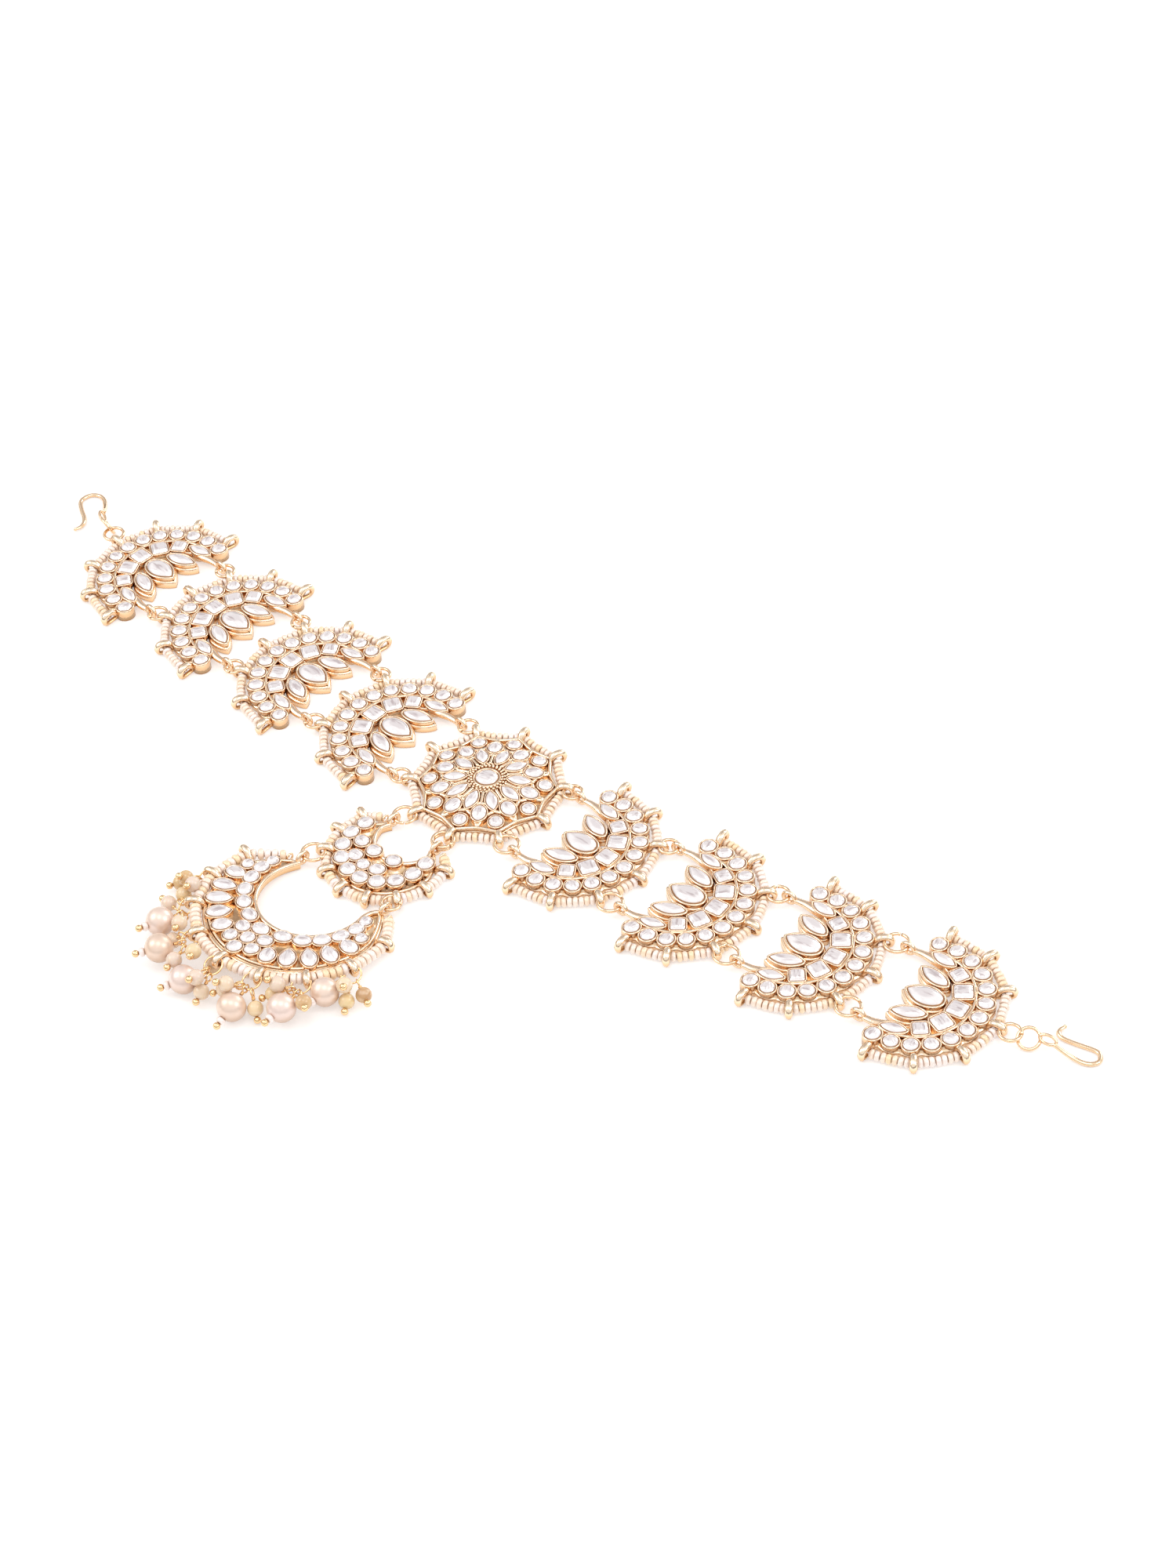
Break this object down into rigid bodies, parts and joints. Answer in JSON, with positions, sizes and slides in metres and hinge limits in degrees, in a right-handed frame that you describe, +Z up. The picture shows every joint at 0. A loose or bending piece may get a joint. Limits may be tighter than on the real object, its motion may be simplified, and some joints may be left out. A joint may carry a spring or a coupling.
{
  "type": "head chain",
  "caption": "Bridal head chain of stone-set castings linked by jump rings, with a star medallion, crescent arms, a bead-hung pendant and a hook at each end.",
  "frame": {"origin": "centre of the medallion's flat back, on the plane that the chain lies on", "axes": "+X along the right arm, -Y towards the pendant, +Z up through the stones"},
  "size_m": [0.2828, 0.1167, 0.0085],
  "materials": {
    "gold_metal": "bright pale gold plate",
    "seed_beads": "cream glass seed beads with a soft shine",
    "round_beads": "honey beige beads, slightly translucent, on gold head pins",
    "pearls": "champagne pearl on a gold head pin"
  },
  "bodies": {
    "root": {"medallion": "gold_metal", "crescent_left_1": "gold_metal", "crescent_left_2": "gold_metal", "crescent_left_3": "gold_metal", "crescent_left_4": "gold_metal", "crescent_right_1": "gold_metal", "crescent_right_2": "gold_metal", "crescent_right_3": "gold_metal", "crescent_right_4": "gold_metal", "small_crescent": "gold_metal", "large_crescent": "gold_metal", "medallion_beads": "seed_beads", "crescent_left_1_beads": "seed_beads", "crescent_left_2_beads": "seed_beads", "crescent_left_3_beads": "seed_beads", "crescent_left_4_beads": "seed_beads", "crescent_right_1_beads": "seed_beads", "crescent_right_2_beads": "seed_beads", "crescent_right_3_beads": "seed_beads", "crescent_right_4_beads": "seed_beads", "small_crescent_beads": "seed_beads", "large_crescent_beads": "seed_beads", "ring_left_1_upper": "gold_metal", "ring_left_1_lower": "gold_metal", "ring_left_2_upper": "gold_metal", "ring_left_2_lower": "gold_metal", "ring_left_3_upper": "gold_metal", "ring_left_3_lower": "gold_metal", "ring_left_4_upper": "gold_metal", "ring_left_4_lower": "gold_metal", "ring_right_1_upper": "gold_metal", "ring_right_1_lower": "gold_metal", "ring_right_2_upper": "gold_metal", "ring_right_2_lower": "gold_metal", "ring_right_3_upper": "gold_metal", "ring_right_3_lower": "gold_metal", "ring_right_4_upper": "gold_metal", "ring_right_4_lower": "gold_metal", "ring_pendant_left": "gold_metal", "ring_pendant_right": "gold_metal", "ring_large_left": "gold_metal", "ring_large_right": "gold_metal", "ring_left_end": "gold_metal", "ring_right_end": "gold_metal", "hook_left": "gold_metal", "hook_right": "gold_metal", "drop_1_beads": "round_beads", "drop_2_beads": "round_beads", "drop_3_beads": "round_beads", "drop_4_beads": "round_beads", "drop_5_beads": "round_beads", "drop_6_beads": "round_beads", "drop_7_beads": "round_beads", "drop_2_pearl": "pearls", "drop_3_pearl": "pearls", "drop_4_pearl": "pearls", "drop_5_pearl": "pearls", "drop_6_pearl": "pearls", "drop_7_pearl": "pearls"}
  },
  "joints": []
}
